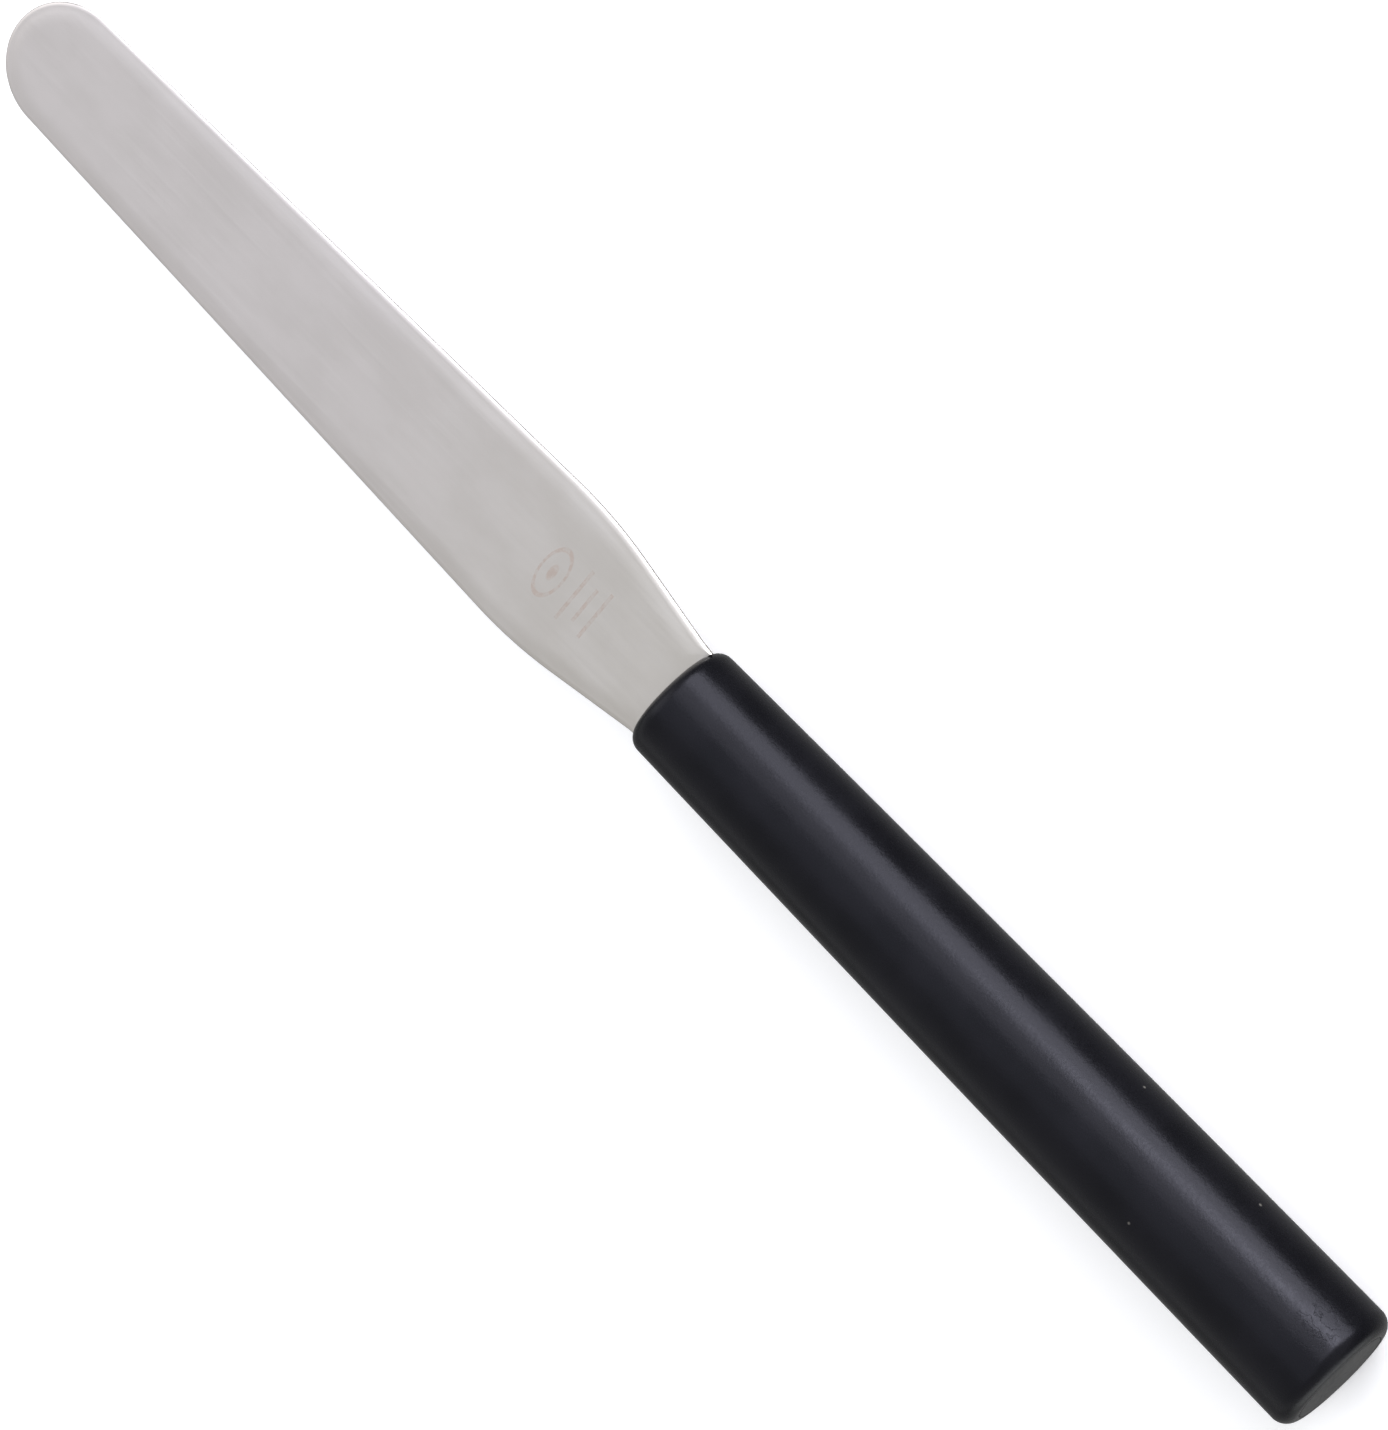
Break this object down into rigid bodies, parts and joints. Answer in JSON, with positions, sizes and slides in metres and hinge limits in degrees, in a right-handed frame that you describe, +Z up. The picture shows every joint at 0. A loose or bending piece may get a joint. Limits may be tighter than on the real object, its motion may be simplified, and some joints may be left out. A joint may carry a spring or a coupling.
{
  "type": "icing spatula",
  "caption": "Small straight icing spatula: flat round-tipped steel blade with a narrowed neck in a tapered round black plastic handle.",
  "frame": {"origin": "on the surface that the spatula lies on, midway between its butt and its tip, under the handle's axis, where the handle's nose meets the blade", "axes": "+X along the handle's axis towards the blade's tip, +Z up and square to the blade's flat, +Y across the blade"},
  "size_m": [0.228, 0.0218, 0.0181],
  "materials": {
    "blade_steel": "fine satin grind along the blade",
    "core_plastic": "plain moulded",
    "grip_plastic": "satin black, fine moulded texture",
    "plug_plastic": "satin black"
  },
  "bodies": {
    "root": {"blade": "blade_steel", "core_lower": "core_plastic", "core_upper": "core_plastic", "grip_sleeve": "grip_plastic", "end_plug": "plug_plastic"}
  },
  "joints": []
}
